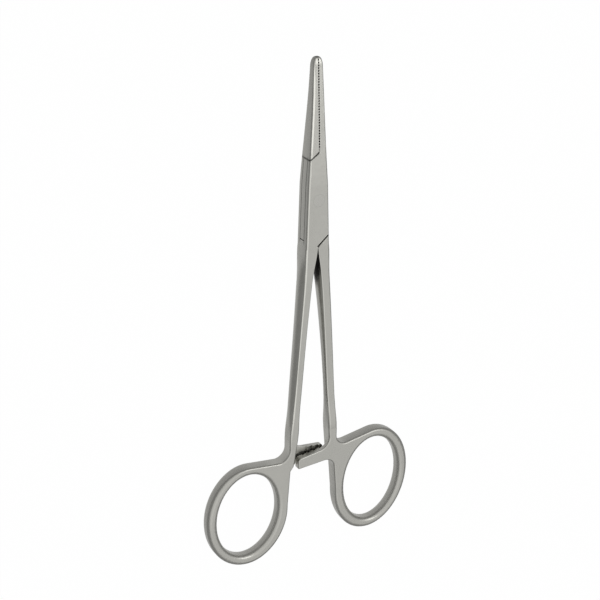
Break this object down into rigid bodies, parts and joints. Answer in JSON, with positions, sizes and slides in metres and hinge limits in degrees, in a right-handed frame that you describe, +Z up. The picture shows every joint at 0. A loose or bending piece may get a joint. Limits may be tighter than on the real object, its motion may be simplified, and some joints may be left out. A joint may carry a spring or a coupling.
{
  "type": "hemostat forceps",
  "caption": "Straight ring-handled locking forceps with cross-serrated jaws, a box lock on a flush rivet, slender shanks and a ratchet catch between the finger rings.",
  "frame": {"origin": "on the pivot axis, at the underside of the box lock", "axes": "+Y from the finger rings to the jaw tips, +X towards the right finger ring, +Z up, away from the table it lies on"},
  "size_m": [0.0633, 0.14, 0.0049],
  "materials": {
    "forged_steel": "satin, fine polishing grain",
    "rivet_steel": "satin, ground flush"
  },
  "bodies": {
    "box_half": {"box_arm": "forged_steel", "pivot_rivet": "rivet_steel"},
    "tongue_half": {"tongue_arm": "forged_steel"}
  },
  "joints": [
    {"name": "box_lock_hinge", "type": "hinge", "parent": "box_half", "child": "tongue_half", "pos_m": [0, 0, 0.00245], "axis": [0, 0, 1], "range_deg": [0, 45]}
  ]
}
